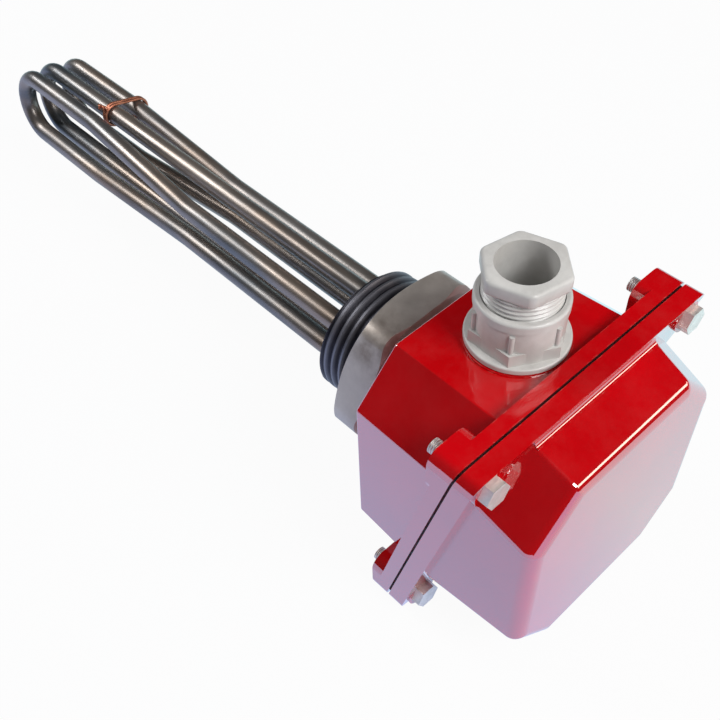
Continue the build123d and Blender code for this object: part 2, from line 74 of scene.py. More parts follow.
# Hexagon and neck of the plug
HEX_FLATS = 76 * MM
HEX_T = 17 * MM
HEX_CORNER_R = 9 * MM
HEX_FRONT_FACE_R = 36.6 * MM
HEX_BACK_FACE_R = 39.2 * MM
HEX_CONE_SIDES = 128
HEX_SOFT_R = 0.9 * MM
HEX_SOFT_ANGLE = radians(22)
HEX_SPARE = 2 * MM
HEX_TURN = radians(2.6)
NECK_R = 34 * MM
NECK_END = 28 * MM

# Hexagons in general, and the round tools that cut them
CORNER_STEPS = 8
RIM_STEPS = 4
RIM_ANGLE = radians(60)
ROUND_SIDES = 96
TURNED_SMOOTH = 35

# Sheaths and the braze round them
SHEATH_R = 4.75 * MM
RING_R = 17.1 * MM
RING_TURN = radians(-7.4)
RING_ANGLE = radians(30)
BRAZE_R = 1.1 * MM
BRAZE_LIFT = 0.35
BRAZE_ROUGHNESS = 0.12 * MM
BRAZE_SIDES = 48
BRAZE_STEPS = 10
BRAZE_SMOOTH = 80

# Tie wire
TIE_X = -218 * MM
TIE_WIRE_R = 0.8 * MM
TIE_GAP = 0.25 * MM
TIE_FAR_LAT = 13.85 * MM
TIE_FAR_UP = 15.9 * MM
TIE_TURNS = 2
TIE_SIDES = 64
TIE_STEPS = 14
TIE_SMOOTH = 50
TAIL_L = 4.5 * MM
TAIL_PITCH = 5 * MM
TAIL_RISE = radians(40)
TAIL_STEPS = 40

# Fillet at the foot of the cover's flange; the shares place the bar and the round that hollows it
COVER_LEAN = 0.268
COVER_ROOT = Vector((94.83, 0, 54.77)) * MM
ROOT_R = 2.6 * MM
ROOT_HALF_Y = 33.4 * MM
ROOT_BAR_SHARE = 0.42
ROOT_ROUND_SHARE = 0.98
ROOT_SMOOTH = 30

# Gland nut
GLAND_X = 59.1 * MM
NUT_TOP = 91.4 * MM
NUT_T = 6.4 * MM
NUT_FLATS = 30 * MM
NUT_CORNER_R = 3.4 * MM
NUT_EDGE_R = 1.4 * MM
NUT_TURN = radians(-12)
NUT_WAY_R = 11.2 * MM
SPIGOT_END = 69.7 * MM
SPIGOT_R = 14.7 * MM
SPIGOT_PITCH = 2.0 * MM
SPIGOT_DEPTH = 0.8 * MM

# Mesh clean up
WELD = 0.005 * MM
THREAD_WELD = 0.01 * MM

# Places of the cover bolts, for the thread lines on their shanks
BOLT_Y = 55 * MM
BOLT_Z = 51.5 * MM
SHANK_R = 3.15 * MM
SHANK_PITCH = 1 * MM

# Stained corner of the plug: its place and how far the stain reaches
STAIN_AT = Vector((10, -22, 30)) * MM
STAIN_NEAR = 4 * MM
STAIN_FAR = 20 * MM

# Colours
RED_DEEP = (0.46, 0.0003, 0.002)
RED_FULL = (0.56, 0.0008, 0.004)
RED_WORN = (0.55, 0.30, 0.26)
RED_DUSTY = (0.55, 0.42, 0.40)
PLUG_DARK = (0.46, 0.41, 0.37)
PLUG_LIGHT = (0.66, 0.61, 0.56)
PLUG_STAIN = (0.17, 0.12, 0.09)
PLUG_BARE = (0.75, 0.73, 0.70)
OIL_DARK = (0.045, 0.045, 0.06)
OIL_LIGHT = (0.075, 0.072, 0.085)
# Painted highlight towards the crest of the plug's thread
PAINTED_CREST_HIGHLIGHT = (0.20, 0.20, 0.23)
SHEATH_BRONZE = (0.30, 0.22, 0.165)
SHEATH_STRAW = (0.40, 0.37, 0.345)
SHEATH_BLUE = (0.09, 0.125, 0.155)
SHEATH_SPECK = (0.16, 0.11, 0.08)
BRAZE_DARK = (0.42, 0.33, 0.22)
BRAZE_LIGHT = (0.66, 0.62, 0.55)
COPPER_DARK = (0.36, 0.12, 0.07)
COPPER_LIGHT = (0.62, 0.27, 0.17)
ZINC_DARK = (0.70, 0.70, 0.66)
ZINC_LIGHT = (0.88, 0.87, 0.83)
ZINC_WORN = (0.35, 0.30, 0.22)
NYLON_DARK = (0.45, 0.44, 0.42)
NYLON_LIGHT = (0.57, 0.56, 0.54)
NYLON_DUSTY = (0.76, 0.755, 0.72)
BRASS_DARK = (0.42, 0.29, 0.11)
BRASS_LIGHT = (0.66, 0.50, 0.22)
RUBBER_DARK = (0.012, 0.012, 0.013)
RUBBER_LIGHT = (0.035, 0.034, 0.034)
STUD_DARK = (0.45, 0.45, 0.45)
STUD_LIGHT = (0.65, 0.64, 0.62)
CERAMIC_DARK = (0.72, 0.69, 0.62)
CERAMIC_LIGHT = (0.85, 0.83, 0.78)
GASKET_DARK = (0.035, 0.004, 0.006)
GASKET_LIGHT = (0.07, 0.008, 0.01)
RING_DARK = (0.60, 0.58, 0.54)
RING_LIGHT = (0.78, 0.76, 0.72)

# Floor: metals and paint see a tint that runs from one colour to the other along Y
FLOOR_SIZE = 12
FLOOR_GAP = 0.3 * MM
FLOOR_WHITE = 0.95
FLOOR_COLOUR = (0.55, 0.56, 0.60, 1)
FLOOR_ROUGHNESS = 0.9
TINT_START = -0.06
TINT_END = 0.045
TINT_START_COLOUR = (0.58, 0.68, 1.0, 1)
TINT_END_COLOUR = (0.68, 0.92, 1.0, 1)

# World, as the object, its mirrored light and the camera see it: colour and strength
ROOM = ((0.95, 0.96, 1.0, 1), 0.30)
ROOM_MIRRORED = ((0.85, 0.88, 1.0, 1), 0.012)
ROOM_SEEN = ((0.95, 0.95, 0.95, 1), 1.0)

# Camera: the photograph's place, directions and field of view
SENSOR = 36
LENS = 49.02
CAMERA_AT = Vector((0.20073, -0.20330, 0.31642))
CAMERA_RIGHT = Vector((0.68788, 0.72536, -0.02605))
CAMERA_DOWN = Vector((0.53042, -0.52686, -0.66414))
CAMERA_AHEAD = Vector((-0.49546, 0.44303, -0.74716))

# Sockets of a colour mix, which have no names of their own
MIX_FIRST, MIX_SECOND, MIX_RESULT = 6, 7, 2


# Shader helpers


def node(tree, kind, **values):
    """A node with some of its properties and inputs set."""
    made = tree.nodes.new(kind)
    for name, value in values.items():
        if hasattr(made, name):
            setattr(made, name, value)
        else:
            made.inputs[name.replace("_", " ")].default_value = value
    return made


def link(tree, *pairs):
    """Joins each source socket to its target socket."""
    for source, target in pairs:
        tree.links.new(source, target)


def new_group(name, inputs, output):
    """A shader group with named inputs (name, type, default) and one output value."""
    group = bpy.data.node_groups.new(name, "ShaderNodeTree")
    for label, kind, value in inputs:
        socket = group.interface.new_socket(name=label, in_out="INPUT", socket_type=kind)
        socket.default_value = value
    group.interface.new_socket(name=output, in_out="OUTPUT", socket_type="NodeSocketFloat")
    return group, group.nodes.new("NodeGroupInput"), group.nodes.new("NodeGroupOutput")


def make_mottle():
    """Soft clouds of one value between Low and High."""
    group, start, end = new_group(
        "mottle",
        [
            ("Vector", "NodeSocketVector", (0, 0, 0)),
            ("Scale", "NodeSocketFloat", 50.0),
            ("Low", "NodeSocketFloat", 0.0),
            ("High", "NodeSocketFloat", 1.0),
        ],
        "Value",
    )
    clouds = node(group, "ShaderNodeTexNoise", Detail=5.0, Roughness=0.6)
    spread = node(group, "ShaderNodeMapRange", From_Min=0.32, From_Max=0.68)
    link(
        group,
        (start.outputs["Vector"], clouds.inputs["Vector"]),
        (start.outputs["Scale"], clouds.inputs["Scale"]),
        (clouds.outputs["Fac"], spread.inputs["Value"]),
        (start.outputs["Low"], spread.inputs["To Min"]),
        (start.outputs["High"], spread.inputs["To Max"]),
        (spread.outputs["Result"], end.inputs["Value"]),
    )
    return group


def make_edge_wear():
    """A mask of worn edges, where a rounded normal leaves the true one, broken up by noise."""
    group, start, end = new_group(
        "edge wear",
        [
            ("Vector", "NodeSocketVector", (0, 0, 0)),
            ("Radius", "NodeSocketFloat", 0.8 * MM),
            ("Scale", "NodeSocketFloat", 300.0),
            ("Amount", "NodeSocketFloat", 0.5),
        ],
        "Mask",
    )
    rounded = node(group, "ShaderNodeBevel", samples=4)
    flat = group.nodes.new("ShaderNodeNewGeometry")
    dot = node(group, "ShaderNodeVectorMath", operation="DOT_PRODUCT")
    edge = node(group, "ShaderNodeMapRange", From_Min=0.995, From_Max=0.86)
    chips = node(group, "ShaderNodeTexNoise", Detail=6.0, Roughness=0.7)
    bite = node(group, "ShaderNodeMapRange", From_Min=0.5, From_Max=0.62)
    both = node(group, "ShaderNodeMath", operation="MULTIPLY")
    amount = node(group, "ShaderNodeMath", operation="MULTIPLY", use_clamp=True)
    link(
        group,
        (start.outputs["Radius"], rounded.inputs["Radius"]),
        (rounded.outputs["Normal"], dot.inputs[0]),
        (flat.outputs["Normal"], dot.inputs[1]),
        (dot.outputs["Value"], edge.inputs["Value"]),
        (start.outputs["Vector"], chips.inputs["Vector"]),
        (start.outputs["Scale"], chips.inputs["Scale"]),
        (chips.outputs["Fac"], bite.inputs["Value"]),
        (edge.outputs["Result"], both.inputs[0]),
        (bite.outputs["Result"], both.inputs[1]),
        (both.outputs["Value"], amount.inputs[0]),
        (start.outputs["Amount"], amount.inputs[1]),
        (amount.outputs["Value"], end.inputs["Mask"]),
    )
    return group


def make_dust():
    """A mask of dust that lies on faces that look up, thicker in soft clouds."""
    group, start, end = new_group(
        "dust",
        [("Vector", "NodeSocketVector", (0, 0, 0)), ("Amount", "NodeSocketFloat", 0.2)],
        "Mask",
    )
    face = group.nodes.new("ShaderNodeNewGeometry")
    split = group.nodes.new("ShaderNodeSeparateXYZ")
    up = node(group, "ShaderNodeMapRange", From_Min=0.3)
    clouds = node(group, "ShaderNodeTexNoise", Scale=60.0, Detail=8.0, Roughness=0.75)
    thick = node(group, "ShaderNodeMapRange", From_Min=0.45, From_Max=0.75)
    both = node(group, "ShaderNodeMath", operation="MULTIPLY")
    amount = node(group, "ShaderNodeMath", operation="MULTIPLY", use_clamp=True)
    link(
        group,
        (face.outputs["Normal"], split.inputs[0]),
        (split.outputs["Z"], up.inputs["Value"]),
        (start.outputs["Vector"], clouds.inputs["Vector"]),
        (clouds.outputs["Fac"], thick.inputs["Value"]),
        (up.outputs["Result"], both.inputs[0]),
        (thick.outputs["Result"], both.inputs[1]),
        (both.outputs["Value"], amount.inputs[0]),
        (start.outputs["Amount"], amount.inputs[1]),
        (amount.outputs["Value"], end.inputs["Mask"]),
    )
    return group


MOTTLE = make_mottle()
EDGE_WEAR = make_edge_wear()
DUST = make_dust()


class Finish:
    """One material: its tree, its Principled shader and a mapped vector on Object coordinates."""

    def __init__(self, name, roughness, metallic=0.0, stretch=(1, 1, 1), centre=(0, 0, 0)):
        self.material = bpy.data.materials.new(name)
        self.material.use_nodes = True
        self.tree = self.material.node_tree
        self.shader = self.tree.nodes["Principled BSDF"]
        self.shader.inputs["Roughness"].default_value = roughness
        self.shader.inputs["Metallic"].default_value = metallic
        self.plain = self.add("ShaderNodeTexCoord").outputs["Object"]
        self.vector = self.mapped(Scale=stretch, Location=centre)

    def add(self, kind, **values):
        return node(self.tree, kind, **values)

    def join(self, source, target):
        link(self.tree, (source, target))

    def mapped(self, **values):
        """Object coordinates stretched or moved by a Mapping node."""
        made = self.add("ShaderNodeMapping", **values)
        self.join(self.plain, made.inputs["Vector"])
        return made.outputs["Vector"]

    def split(self, source):
        """The X, Y and Z of a vector."""
        made = self.add("ShaderNodeSeparateXYZ")
        self.join(source, made.inputs[0])
        return made.outputs

    def ramp(self, source, **values):
        """A value taken from one range to another."""
        made = self.add("ShaderNodeMapRange", **values)
        self.join(source, made.inputs["Value"])
        return made.outputs["Result"]

    def noise(self, vector, **values):
        made = self.add("ShaderNodeTexNoise", **values)
        self.join(vector, made.inputs["Vector"])
        return made.outputs["Fac"]

    def use(self, group, **values):
        """One of the shared effects, with its own values."""
        made = self.add("ShaderNodeGroup", node_tree=group)
        for name, value in values.items():
            made.inputs[name].default_value = value
        self.join(self.vector, made.inputs["Vector"])
        return made.outputs[0]

    def mix(self, factor, first, second):
        """A colour mix; first and second are colours or sockets."""
        made = self.add("ShaderNodeMix", data_type="RGBA")
        self.join(factor, made.inputs["Factor"])
        for value, place in ((first, MIX_FIRST), (second, MIX_SECOND)):
            if isinstance(value, tuple):
                made.inputs[place].default_value = (*value, 1)
            else:
                self.join(value, made.inputs[place])
        return made.outputs[MIX_RESULT]

    def colour(self, socket):
        self.join(socket, self.shader.inputs["Base Color"])

    def rough(self, low, high, scale):
        """Gloss that changes in clouds."""
        clouds = self.use(MOTTLE, Scale=scale, Low=low, High=high)
        self.join(clouds, self.shader.inputs["Roughness"])

    def bump(self, height, distance, strength):
        made = self.add("ShaderNodeBump", Distance=distance, Strength=strength)
        self.join(height, made.inputs["Height"])
        self.join(made.outputs["Normal"], self.shader.inputs["Normal"])

    def math(self, operation, *terms):
        """A sum on numbers or sockets."""
        made = self.add("ShaderNodeMath", operation=operation)
        for value, socket in zip(terms, made.inputs):
            if isinstance(value, (int, float)):
                socket.default_value = value
            else:
                self.join(value, socket)
        return made.outputs[0]

    def length(self, first, second):
        """Length of the vector with these two parts."""
        squares = [self.math("MULTIPLY", part, part) for part in (first, second)]
        return self.math("SQRT", self.math("ADD", *squares))


# Finishes


def red_paint():
    """Thick gloss paint over cast metal; its film shows less on faces that look up."""
    paint = Finish("thick red gloss paint", 0.16)
    paint.shader.inputs["IOR"].default_value = 1.5
    paint.shader.inputs["Coat Roughness"].default_value = 0.03
    paint.shader.inputs["Coat IOR"].default_value = 3.2
    red = paint.mix(paint.use(MOTTLE, Scale=22.0), RED_DEEP, RED_FULL)
    wear = paint.use(EDGE_WEAR, Radius=0.7 * MM, Scale=260.0, Amount=0.3)
    dust = paint.use(DUST, Amount=0.025)
    paint.colour(paint.mix(dust, paint.mix(wear, red, RED_WORN), RED_DUSTY))
    paint.rough(low=0.08, high=0.16, scale=40.0)
    face = paint.add("ShaderNodeNewGeometry")
    up = paint.split(face.outputs["Normal"])["Z"]
    film = paint.ramp(up, From_Min=0.80, From_Max=0.97, To_Min=1.0, To_Max=0.12)
    paint.join(film, paint.shader.inputs["Coat Weight"])
    orange_peel = paint.noise(paint.vector, Scale=330.0, Detail=2.0)
    casting = paint.noise(paint.vector, Scale=70.0, Detail=4.0)
    height = paint.math("ADD", paint.math("MULTIPLY", orange_peel, 0.25), casting)
    paint.bump(height, distance=0.05 * MM, strength=0.3)
    return paint.material


def plug_metal():
    """Turned metal: fine rings round the axis, grey clouds and a brown stain on one corner."""
    metal = Finish("turned plug metal", 0.42, 0.55)
    grey = metal.mix(metal.use(MOTTLE, Scale=45.0), PLUG_DARK, PLUG_LIGHT)
    away = metal.add("ShaderNodeVectorMath", operation="LENGTH")
    metal.join(metal.mapped(Location=-STAIN_AT), away.inputs[0])
    near = metal.ramp(away.outputs["Value"], From_Min=STAIN_FAR, From_Max=STAIN_NEAR)
    stain = metal.math("MULTIPLY", near, metal.use(MOTTLE, Scale=120.0, Low=0.0, High=0.8))
    wear = metal.use(EDGE_WEAR, Radius=0.6 * MM, Scale=400.0, Amount=0.6)
    metal.colour(metal.mix(wear, metal.mix(stain, grey, PLUG_STAIN), PLUG_BARE))
    metal.rough(low=0.30, high=0.48, scale=90.0)
    rings = metal.noise(metal.mapped(Scale=(2600, 40, 40)), Scale=1.0, Detail=3.0)
    metal.bump(rings, distance=0.04 * MM, strength=0.35)
    return metal.material


def thread_metal():
    """Oiled thread, with a painted highlight that lightens its colour towards the crest of the
    tooth.
    """
    metal = Finish("oiled thread", 0.35, 0.7)
    oiled = metal.mix(metal.use(MOTTLE, Scale=110.0), OIL_DARK, OIL_LIGHT)
    place = metal.split(metal.plain)
    # Painted highlight: the colour lightens with distance from the axis, towards the crest of the
    # tooth
    crest_highlight = metal.ramp(
        metal.length(place["Y"], place["Z"]),
        From_Min=THREAD_R - THREAD_DEPTH * CREST_HIGHLIGHT_SHARE,
        From_Max=THREAD_R,
    )
    metal.colour(metal.mix(crest_highlight, oiled, PAINTED_CREST_HIGHLIGHT))
    metal.rough(low=0.34, high=0.46, scale=200.0)
    return metal.material


def heat_tinted(name, shift):
    """Sheath metal tinted by heat: bronze, straw and blue bands that drift along the tube."""
    metal = Finish(name, 0.36, 0.78, stretch=(0.16, 1, 1), centre=(shift, 0, 0))
    bronze = metal.mix(metal.use(MOTTLE, Scale=55.0), SHEATH_BRONZE, SHEATH_STRAW)
    blue = metal.add("ShaderNodeClamp")
    metal.join(metal.use(MOTTLE, Scale=48.0, Low=-0.45, High=1.0), blue.inputs["Value"])
    tinted = metal.mix(blue.outputs["Result"], bronze, SHEATH_BLUE)
    specks = metal.math("MULTIPLY", metal.use(MOTTLE, Scale=420.0), 0.2)
    metal.colour(metal.mix(specks, tinted, SHEATH_SPECK))
    metal.rough(low=0.28, high=0.44, scale=90.0)
    drawn = metal.noise(metal.vector, Scale=500.0, Detail=2.0)
    metal.bump(drawn, distance=0.005 * MM, strength=0.2)
    return metal.material


def braze_metal():
    """Lumpy braze, dull in clouds."""
    metal = Finish("braze", 0.35, 1.0)
    metal.colour(metal.mix(metal.use(MOTTLE, Scale=500.0), BRAZE_DARK, BRAZE_LIGHT))
    metal.rough(low=0.25, high=0.5, scale=300.0)
    lumps = metal.noise(metal.vector, Scale=600.0, Detail=4.0)
    metal.bump(lumps, distance=0.3 * MM, strength=0.6)
    return metal.material


def zinc_plate():
    """Pale zinc with thread lines on the bolt shanks: bands along the bolts, inside the shank."""
    zinc = Finish("pale zinc plate", 0.35, 0.6)
    grey = zinc.mix(zinc.use(MOTTLE, Scale=320.0), ZINC_DARK, ZINC_LIGHT)
    wear = zinc.use(EDGE_WEAR, Radius=0.4 * MM, Scale=900.0, Amount=0.5)
    zinc.colour(zinc.mix(wear, grey, ZINC_WORN))
    zinc.rough(low=0.28, high=0.46, scale=260.0)
    place = zinc.split(zinc.plain)
    off_y = zinc.math("SUBTRACT", zinc.math("ABSOLUTE", place["Y"]), BOLT_Y)
    off_z = zinc.math("SUBTRACT", zinc.math("ABSOLUTE", place["Z"]), BOLT_Z)
    on_shank = zinc.math("LESS_THAN", zinc.length(off_y, off_z), SHANK_R)
    turns = zinc.math("SINE", zinc.math("MULTIPLY", place["X"], 2 * pi / SHANK_PITCH))
    zinc.bump(zinc.math("MULTIPLY", turns, on_shank), distance=0.3 * MM, strength=0.8)
    return zinc.material


def grey_nylon():
    """Moulded nylon with a fine grain and some dust on what looks up."""
    nylon = Finish("grey nylon", 0.42)
    nylon.shader.inputs["Coat Weight"].default_value = 0.15
    grey = nylon.mix(nylon.use(MOTTLE, Scale=70.0), NYLON_DARK, NYLON_LIGHT)
    nylon.colour(nylon.mix(nylon.use(DUST, Amount=0.4), grey, NYLON_DUSTY))
    nylon.rough(low=0.34, high=0.5, scale=120.0)
    grain = nylon.noise(nylon.vector, Scale=500.0, Detail=3.0)
    nylon.bump(grain, distance=0.03 * MM, strength=0.6)
    return nylon.material


def clouded(name, dark, light, low, high, scale, gloss_scale, metallic=0.0):
    """A finish with clouds in its colour and, at another scale, in its gloss."""
    made = Finish(name, low, metallic)
    made.colour(made.mix(made.use(MOTTLE, Scale=scale), dark, light))
    made.rough(low, high, gloss_scale)
    return made.material


paint_finish = red_paint()
zinc_finish = zinc_plate()
nylon_finish = grey_nylon()
brass = clouded("brass", BRASS_DARK, BRASS_LIGHT, 0.25, 0.42, 200.0, 400.0, 1.0)
rubber = clouded("black rubber", RUBBER_DARK, RUBBER_LIGHT, 0.5, 0.7, 150.0, 300.0)
stud_steel = clouded("stud steel", STUD_DARK, STUD_LIGHT, 0.25, 0.4, 250.0, 500.0, 1.0)
ceramic = clouded("white ceramic", CERAMIC_DARK, CERAMIC_LIGHT, 0.2, 0.35, 220.0, 440.0)
gasket = clouded("painted over gasket", GASKET_DARK, GASKET_LIGHT, 0.5, 0.7, 150.0, 300.0)
bright_ring = clouded("bright ring", RING_DARK, RING_LIGHT, 0.2, 0.34, 300.0, 600.0, 1.0)
copper = clouded("soft copper", COPPER_DARK, COPPER_LIGHT, 0.28, 0.5, 260.0, 300.0, 0.8)
braze_finish = braze_metal()
thread_finish = thread_metal()
sheath_shifts = {"element_left": 0.0, "element_middle": 1.7, "element_right": 3.9}
finishes = {
    "screw_plug": plug_metal(),
    **{name: heat_tinted("heat tinted " + name, at) for name, at in sheath_shifts.items()},
    "tie_wire": copper,
    "terminal_studs": stud_steel,
    "ceramic_bushes": ceramic,
    "terminal_nuts": brass,
    "terminal_washers": brass,
    "star_link": brass,
    "earth_screw": brass,
    "earth_washer": brass,
    "box_base": paint_finish,
    "box_cover": paint_finish,
    "cover_gasket": gasket,
    "base_gasket": rubber,
    "gland_washer": rubber,
    "gland_seal": rubber,
    "cover_bolts": zinc_finish,
    "base_screws": zinc_finish,
    "gland_body": nylon_finish,
    "gland_locknut": nylon_finish,
    "gland_nut": nylon_finish,
    "gland_clamp_ring": bright_ring,
}
for name, material in finishes.items():
    slots = nodes[name].data.materials
    slots.clear()
    slots.append(material)


# Modelling helpers


def deselect():
    if bpy.context.object and bpy.context.object.mode != "OBJECT":
        bpy.ops.object.mode_set(mode="OBJECT")
    bpy.ops.object.select_all(action="DESELECT")


def pick(piece):
    """Selects one piece and nothing else."""
    deselect()
    piece.select_set(True)
    bpy.context.view_layer.objects.active = piece


def edit(piece):
    """Opens a piece's mesh with all of it selected."""
    pick(piece)
    bpy.ops.object.mode_set(mode="EDIT")
    bpy.ops.mesh.select_all(action="SELECT")


def close():
    bpy.ops.object.mode_set(mode="OBJECT")


def settle(piece):
    """Puts the piece's place into its mesh and points its faces outwards."""
    pick(piece)
    bpy.ops.object.transform_apply(location=True, rotation=True, scale=True)
    edit(piece)
    bpy.ops.mesh.remove_doubles(threshold=WELD)
    bpy.ops.mesh.normals_make_consistent(inside=False)
    close()


def apply(piece, modifier):
    pick(piece)
    bpy.ops.object.modifier_apply(modifier=modifier.name)


def smooth(piece, degrees):
    pick(piece)
    bpy.ops.object.shade_smooth_by_angle(angle=radians(degrees))


def round_edges(piece, name, width, steps, angle):
    """A bevel modifier on the edges that turn by more than an angle."""
    rounding = piece.modifiers.new(name, "BEVEL")
    rounding.width = width
    rounding.segments = steps
    rounding.limit_method = "ANGLE"
    rounding.angle_limit = angle
    return rounding


def combine(piece, tool, operation):
    """Joins a tool into a piece, cuts it out or keeps what they share, and drops the tool."""
    cut = piece.modifiers.new("combine", "BOOLEAN")
    cut.operation = operation
    cut.solver = "EXACT"
    cut.object = tool
    apply(piece, cut)
    bpy.data.objects.remove(tool, do_unlink=True)


def finish_piece(piece, name, material, body):
    """Names a piece, gives it its material and hangs it on its body."""
    piece.name = name
    piece.data.name = name
    piece.data.materials.clear()
    piece.data.materials.append(material)
    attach(piece, body)


def bundle_spot(x, lat, up):
    """Place in the turned frame of the element bundle."""
    return Matrix.Rotation(RING_TURN, 3, "X") @ Vector((x, lat, up))


def cylinder(radius, low, high, turn=None, x=0.0):
    """Cylinder along Z at x, or along the axis that a matrix turns Z to."""
    middle = (low + high) / 2
    deselect()
    bpy.ops.mesh.primitive_cylinder_add(
        vertices=ROUND_SIDES,
        radius=radius,
        depth=high - low,
        location=turn @ Vector((0, 0, middle)) if turn else (x, 0, middle),
        rotation=turn.to_euler() if turn else (0, 0, 0),
    )
    made = bpy.context.object
    settle(made)
    return made


def hexagon(flats, corner_r, low, high, turn):
    """Hexagon prism with rounded corners, its axis turned by a matrix from Z."""
    deselect()
    bpy.ops.mesh.primitive_circle_add(vertices=6, radius=flats / SQRT3, fill_type="NGON")
    prism = bpy.context.object
    edit(prism)
    bpy.ops.mesh.bevel(offset=corner_r / SQRT3, segments=CORNER_STEPS, affect="VERTICES")
    bpy.ops.mesh.extrude_region_move(TRANSFORM_OT_translate={"value": (0, 0, high - low)})
    close()
    prism.matrix_world = turn.to_4x4() @ Matrix.Translation((0, 0, low))
    settle(prism)
    return prism


def wound(axis, centre, low, high, radius, pitch, depth):
    """Solid thread wound from one tooth round an axis and cut square at both ends."""
    along = Vector((1, 0, 0)) if axis == "X" else Vector((0, 0, 1))
    out = Vector((0, 0, 1)) if axis == "X" else Vector((1, 0, 0))
    deselect()
    bpy.ops.mesh.primitive_plane_add(size=MM, location=centre)
    thread = bpy.context.object
    edit(thread)
    bpy.ops.mesh.merge(type="CENTER")
    bpy.ops.transform.translate(value=along * (low - 2 * pitch) + out * (radius - depth))
    for share, rise in zip(THREAD_TOOTH, (0, depth, 0, -depth)):
        step = along * pitch * share + out * rise
        bpy.ops.mesh.extrude_vertices_move(TRANSFORM_OT_translate={"value": step})
    close()
    wind = thread.modifiers.new("wind", "SCREW")
    wind.axis = axis
    wind.screw_offset = pitch
    wind.iterations = int((high - low) / pitch) + THREAD_SPARE_TURNS
    wind.steps = wind.render_steps = THREAD_STEPS
    apply(thread, wind)
    edit(thread)
    bpy.ops.mesh.remove_doubles(threshold=THREAD_WELD)
    for end, clear in ((low, {"clear_inner": True}), (high, {"clear_outer": True})):
        bpy.ops.mesh.select_all(action="SELECT")
        bpy.ops.mesh.bisect(
            plane_co=Vector(centre) + along * end, plane_no=along, use_fill=True, **clear
        )
    close()
    settle(thread)
    return thread


# Cast edges are rounded a little, so that they catch the light

for name in ("box_base", "box_cover"):
    round_edges(nodes[name], "cast edges", CAST_EDGE_R, CAST_EDGE_STEPS, CAST_EDGE_ANGLE)


# Screw plug: hexagon with rounded corners, faced off by two cones, with a round neck

plug_axis = Matrix.Rotation(HEX_TURN, 3, "X") @ Matrix.Rotation(QUARTER, 3, "Y")
plug = hexagon(HEX_FLATS, HEX_CORNER_R, 0, HEX_T, plug_axis)
for face_r, opens_forward in ((HEX_FRONT_FACE_R, True), (HEX_BACK_FACE_R, False)):
    small_r = face_r - HEX_SPARE * SQRT3
    wide_r = face_r + (HEX_T + HEX_SPARE) * SQRT3
    deselect()
    bpy.ops.mesh.primitive_cone_add(
        vertices=HEX_CONE_SIDES,
        radius1=small_r if opens_forward else wide_r,
        radius2=wide_r if opens_forward else small_r,
        depth=HEX_T + 2 * HEX_SPARE,
        location=(HEX_T / 2, 0, 0),
        rotation=plug_axis.to_euler(),
    )
    facing = bpy.context.object
    settle(facing)
    combine(plug, facing, "INTERSECT")
apply(plug, round_edges(plug, "soften", HEX_SOFT_R, RIM_STEPS, HEX_SOFT_ANGLE))
combine(plug, cylinder(NECK_R, HEX_T / 2, NECK_END, plug_axis), "UNION")
smooth(plug, TURNED_SMOOTH)
finish_piece(plug, "plug_hexagon", finishes["screw_plug"], "heater")

thread = wound("X", (0, 0, 0), -THREAD_LENGTH, 0, THREAD_R, THREAD_PITCH, THREAD_DEPTH)
smooth(thread, THREAD_SMOOTH)
finish_piece(thread, "plug_thread", thread_finish, "heater")
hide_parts("screw_plug")


# Braze fillets where the sheaths leave the plug

root_lat = RING_R * cos(RING_ANGLE)
braze_spots = [(0, RING_R), (0, -RING_R)]
braze_spots += [(side * root_lat, up * RING_R / 2) for side in (-1, 1) for up in (-1, 1)]
for number, (lat, up) in enumerate(braze_spots):
    deselect()
    bpy.ops.mesh.primitive_torus_add(
        location=bundle_spot(-THREAD_LENGTH, lat, up),
        rotation=(0, QUARTER, 0),
        major_segments=BRAZE_SIDES,
        minor_segments=BRAZE_STEPS,
        major_radius=SHEATH_R + BRAZE_R * BRAZE_LIFT,
        minor_radius=BRAZE_R,
    )
    fillet = bpy.context.object
    edit(fillet)
    bpy.ops.transform.vertex_random(
        offset=BRAZE_ROUGHNESS, uniform=0.0, normal=1.0, seed=number
    )
    close()
    settle(fillet)
    smooth(fillet, BRAZE_SMOOTH)
    finish_piece(fillet, f"braze_fillet_{number + 1}", braze_finish, "heater")


# Tie wire: two loops round the upper legs of two elements, and twisted ends

tie_r = SHEATH_R + TIE_GAP + TIE_WIRE_R
wires = []
for turn in range(TIE_TURNS):
    x = TIE_X + turn * (2 * TIE_WIRE_R + TIE_GAP)
    near, far = bundle_spot(x, 0, RING_R), bundle_spot(x, TIE_FAR_LAT, TIE_FAR_UP)
    middle = (near + far) / 2
    deselect()
    bpy.ops.mesh.primitive_torus_add(
        location=far,
        rotation=(0, QUARTER, 0),
        major_segments=TIE_SIDES,
        minor_segments=TIE_STEPS,
        major_radius=tie_r,
        minor_radius=TIE_WIRE_R,
    )
    loop = bpy.context.object
    edit(loop)
    bpy.ops.mesh.bisect(plane_co=far, plane_no=(far - near).normalized(), clear_inner=True)
    bpy.ops.mesh.select_all(action="DESELECT")
    bpy.ops.mesh.select_non_manifold()
    bpy.ops.mesh.extrude_region_move(TRANSFORM_OT_translate={"value": middle - far})
    bpy.ops.mesh.select_all(action="SELECT")
    bpy.ops.mesh.duplicate()
    bpy.ops.transform.rotate(value=radians(180), orient_axis="X", center_override=middle)
    close()
    settle(loop)
    wires.append(loop)

